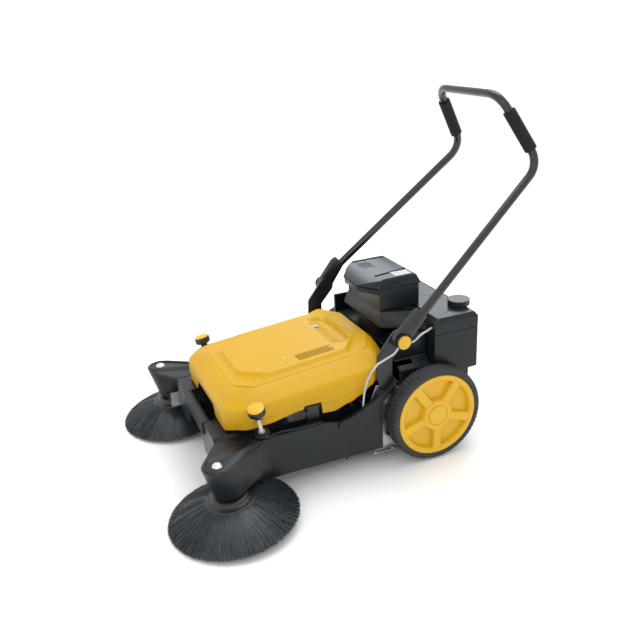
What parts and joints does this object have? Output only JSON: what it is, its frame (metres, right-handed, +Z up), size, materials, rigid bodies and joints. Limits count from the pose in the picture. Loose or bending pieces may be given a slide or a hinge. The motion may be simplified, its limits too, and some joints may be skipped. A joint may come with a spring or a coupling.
{
  "type": "walk behind sweeper",
  "caption": "Walk behind floor sweeper: yellow hinged cover on a black chassis, main roller, side brushes on adjustable arms, large wheels, rear hopper, battery box and folding push handle.",
  "frame": {"origin": "on the ground below the middle of the overall box", "axes": "+Z up, +Y towards the person pushing, +X to the near side"},
  "size_m": [1.025, 1.2475, 1.0512],
  "materials": {
    "body_plastic": "grained moulded polyethylene, satin",
    "dark_plastic": "moulded nylon, satin",
    "yellow_cover": "moulded polyethylene, soft gloss",
    "yellow_plastic": "moulded polypropylene, soft gloss",
    "galvanised_steel": "galvanised, dull",
    "zinc_fasteners": "bright zinc plate",
    "polished_bolt": "polished",
    "axle_steel": "turned steel, oiled",
    "tyre_rubber": "ribbed tread rubber",
    "flap_rubber": "matt rubber",
    "tube_paint": "gloss black powder coat",
    "grip_foam": "matt closed-cell foam",
    "bristle": "drawn polypropylene strands",
    "core_wood": "turned beech, sealed",
    "filter_fabric": "pleated filter paper",
    "battery_case": "moulded case",
    "cable_sheath": "grey cable sheath"
  },
  "bodies": {
    "chassis": {"chassis_tray": "body_plastic", "front_beam": "body_plastic", "side_plates": "galvanised_steel", "chassis_shroud": "body_plastic", "rear_deck": "body_plastic", "main_axle": "axle_steel", "axle_blocks": "axle_steel", "fan_housing": "dark_plastic", "filter_cartridge": "filter_fabric", "rear_flap": "flap_rubber", "battery_box": "body_plastic", "battery": "battery_case", "handle_brackets": "dark_plastic", "idler_brackets": "galvanised_steel", "cables": "cable_sheath", "chassis_fasteners": "zinc_fasteners", "near_drive_belt": "flap_rubber", "far_drive_belt": "flap_rubber"},
    "near_arm": {"near_arm": "body_plastic", "near_tip_bolt": "polished_bolt"},
    "far_arm": {"far_arm": "body_plastic", "far_tip_bolt": "polished_bolt"},
    "near_brush": {"near_brush_hub": "dark_plastic", "near_brush_bristles": "bristle"},
    "far_brush": {"far_brush_hub": "dark_plastic", "far_brush_bristles": "bristle"},
    "near_adjuster": {"near_adjuster_knob": "yellow_plastic", "near_adjuster_stud": "zinc_fasteners"},
    "far_adjuster": {"far_adjuster_knob": "yellow_plastic", "far_adjuster_stud": "zinc_fasteners"},
    "near_wheel": {"near_tyre": "tyre_rubber", "near_hub": "yellow_plastic", "drive_gear": "dark_plastic"},
    "far_wheel": {"far_tyre": "tyre_rubber", "far_hub": "yellow_plastic", "far_drive_pulley": "dark_plastic"},
    "roller": {"roller_core": "core_wood", "roller_bristles": "bristle", "roller_gear": "dark_plastic"},
    "front_flap": {"front_flap": "flap_rubber"},
    "flap_lever": {"flap_lever": "galvanised_steel"},
    "near_front_idler": {"near_front_idler": "dark_plastic"},
    "far_front_idler": {"far_front_idler": "dark_plastic"},
    "near_rear_idler": {"near_rear_idler": "dark_plastic"},
    "far_rear_idler": {"far_rear_idler": "dark_plastic"},
    "handle": {"handle_tube": "tube_paint", "hand_grips": "grip_foam", "handle_plates": "dark_plastic"},
    "near_clamp_knob": {"near_clamp_knob": "yellow_plastic"},
    "far_clamp_knob": {"far_clamp_knob": "yellow_plastic"},
    "cover": {"cover": "yellow_cover"},
    "near_cover_latch": {"near_cover_latch": "dark_plastic"},
    "far_cover_latch": {"far_cover_latch": "dark_plastic"},
    "hopper": {"hopper": "body_plastic"},
    "shaker_knob": {"shaker_knob": "dark_plastic"},
    "battery_lid": {"battery_lid": "body_plastic"},
    "rocker_switch": {"rocker_switch": "dark_plastic"},
    "fan_impeller": {"fan_impeller": "axle_steel"},
    "caster_fork": {"caster_fork": "galvanised_steel"},
    "caster_wheel": {"caster_wheel": "tyre_rubber"}
  },
  "joints": [
    {"name": "near_wheel_spin", "type": "hinge", "parent": "chassis", "child": "near_wheel", "pos_m": [0.299, 0.22, 0.152], "axis": [1, 0, 0], "continuous": true},
    {"name": "near_adjuster_turn", "type": "hinge", "parent": "near_arm", "child": "near_adjuster", "pos_m": [0.26, -0.315, 0.212], "axis": [0.1766, -0.187, 0.9663], "range_deg": [0, 1440]},
    {"name": "near_arm_lift", "type": "hinge", "parent": "chassis", "child": "near_arm", "pos_m": [0.26, 0.01, 0.105], "axis": [-1, 0, 0], "range_deg": [0, 1.41], "deforming": ["near_drive_belt"]},
    {"name": "near_brush_spin", "type": "hinge", "parent": "near_arm", "child": "near_brush", "pos_m": [0.3255, -0.4446, 0.11471], "axis": [0, -0.0767, 0.9971], "continuous": true},
    {"name": "near_front_idler_spin", "type": "hinge", "parent": "chassis", "child": "near_front_idler", "pos_m": [0.2435, -0.458, 0.113], "axis": [0, 0, 1], "continuous": true},
    {"name": "near_rear_idler_spin", "type": "hinge", "parent": "chassis", "child": "near_rear_idler", "pos_m": [0.2435, -0.403, 0.128], "axis": [0, 0, 1], "continuous": true},
    {"name": "near_clamp_turn", "type": "hinge", "parent": "handle", "child": "near_clamp_knob", "pos_m": [0.295, 0.1206, 0.404], "axis": [1, 0, 0], "range_deg": [0, 720]},
    {"name": "near_latch_turn", "type": "hinge", "parent": "cover", "child": "near_cover_latch", "pos_m": [0.239, -0.151, 0.242], "axis": [0, -1, 0], "range_deg": [0, 70]},
    {"name": "far_wheel_spin", "type": "hinge", "parent": "chassis", "child": "far_wheel", "pos_m": [-0.299, 0.22, 0.152], "axis": [1, 0, 0], "continuous": true},
    {"name": "far_adjuster_turn", "type": "hinge", "parent": "far_arm", "child": "far_adjuster", "pos_m": [-0.26, -0.315, 0.212], "axis": [-0.1766, -0.187, 0.9663], "range_deg": [0, 1440]},
    {"name": "far_arm_lift", "type": "hinge", "parent": "chassis", "child": "far_arm", "pos_m": [-0.26, 0.01, 0.105], "axis": [-1, 0, 0], "range_deg": [0, 1.41], "deforming": ["far_drive_belt"]},
    {"name": "far_brush_spin", "type": "hinge", "parent": "far_arm", "child": "far_brush", "pos_m": [-0.3255, -0.4446, 0.11471], "axis": [0, -0.0767, 0.9971], "continuous": true},
    {"name": "far_front_idler_spin", "type": "hinge", "parent": "chassis", "child": "far_front_idler", "pos_m": [-0.2435, -0.458, 0.113], "axis": [0, 0, 1], "continuous": true},
    {"name": "far_rear_idler_spin", "type": "hinge", "parent": "chassis", "child": "far_rear_idler", "pos_m": [-0.2435, -0.403, 0.128], "axis": [0, 0, 1], "continuous": true},
    {"name": "far_clamp_turn", "type": "hinge", "parent": "handle", "child": "far_clamp_knob", "pos_m": [-0.295, 0.1206, 0.404], "axis": [1, 0, 0], "range_deg": [0, 720]},
    {"name": "far_latch_turn", "type": "hinge", "parent": "cover", "child": "far_cover_latch", "pos_m": [-0.239, -0.151, 0.242], "axis": [0, 1, 0], "range_deg": [0, 70]},
    {"name": "roller_spin", "type": "hinge", "parent": "chassis", "child": "roller", "pos_m": [0, 0.09671, 0.097], "axis": [1, 0, 0], "continuous": true},
    {"name": "flap_lever_turn", "type": "hinge", "parent": "chassis", "child": "flap_lever", "pos_m": [0.258, 0.084, 0.206], "axis": [-1, 0, 0], "range_deg": [0, 35]},
    {"name": "front_flap_lift", "type": "hinge", "parent": "chassis", "child": "front_flap", "pos_m": [0, -0.034, 0.15], "axis": [-1, 0, 0], "range_deg": [0, 42]},
    {"name": "handle_fold", "type": "hinge", "parent": "chassis", "child": "handle", "pos_m": [0, 0.1206, 0.404], "axis": [1, 0, 0], "range_deg": [0, 95]},
    {"name": "cover_open", "type": "hinge", "parent": "chassis", "child": "cover", "pos_m": [0, -0.392, 0.214], "axis": [1, 0, 0], "range_deg": [0, 72]},
    {"name": "hopper_pull", "type": "slide", "parent": "chassis", "child": "hopper", "axis": [0, 1, 0], "range_m": [0, 0.26]},
    {"name": "shaker_turn", "type": "hinge", "parent": "chassis", "child": "shaker_knob", "pos_m": [0.177, 0.378, 0.431], "axis": [0, 0, 1], "range_deg": [-40, 40]},
    {"name": "battery_lid_open", "type": "hinge", "parent": "chassis", "child": "battery_lid", "pos_m": [0, 0.2842, 0.5], "axis": [-1, 0, 0], "range_deg": [0, 100]},
    {"name": "rocker_press", "type": "hinge", "parent": "chassis", "child": "rocker_switch", "pos_m": [-0.059, 0.14, 0.465], "axis": [1, 0, 0], "range_deg": [0, 12]},
    {"name": "fan_spin", "type": "hinge", "parent": "chassis", "child": "fan_impeller", "pos_m": [0, 0.184, 0.36], "axis": [0, 0, 1], "continuous": true},
    {"name": "caster_swivel", "type": "hinge", "parent": "chassis", "child": "caster_fork", "pos_m": [0, -0.285, 0.06], "axis": [0, 0, 1], "continuous": true},
    {"name": "caster_roll", "type": "hinge", "parent": "caster_fork", "child": "caster_wheel", "pos_m": [0, -0.275, 0.026], "axis": [1, 0, 0], "continuous": true}
  ],
  "couplings": [
    {"joint": "near_adjuster_turn", "follows": "near_arm_lift", "ratio": 1021},
    {"joint": "near_brush_spin", "follows": "near_wheel_spin", "ratio": 1.2143},
    {"joint": "near_front_idler_spin", "follows": "near_wheel_spin", "ratio": -2.4286},
    {"joint": "near_rear_idler_spin", "follows": "near_wheel_spin", "ratio": 2.4286},
    {"joint": "far_adjuster_turn", "follows": "far_arm_lift", "ratio": 1021},
    {"joint": "far_brush_spin", "follows": "far_wheel_spin", "ratio": -1.2143},
    {"joint": "far_front_idler_spin", "follows": "far_wheel_spin", "ratio": 2.4286},
    {"joint": "far_rear_idler_spin", "follows": "far_wheel_spin", "ratio": -2.4286},
    {"joint": "roller_spin", "follows": "near_wheel_spin", "ratio": -2},
    {"joint": "front_flap_lift", "follows": "flap_lever_turn", "ratio": 1.2}
  ]
}
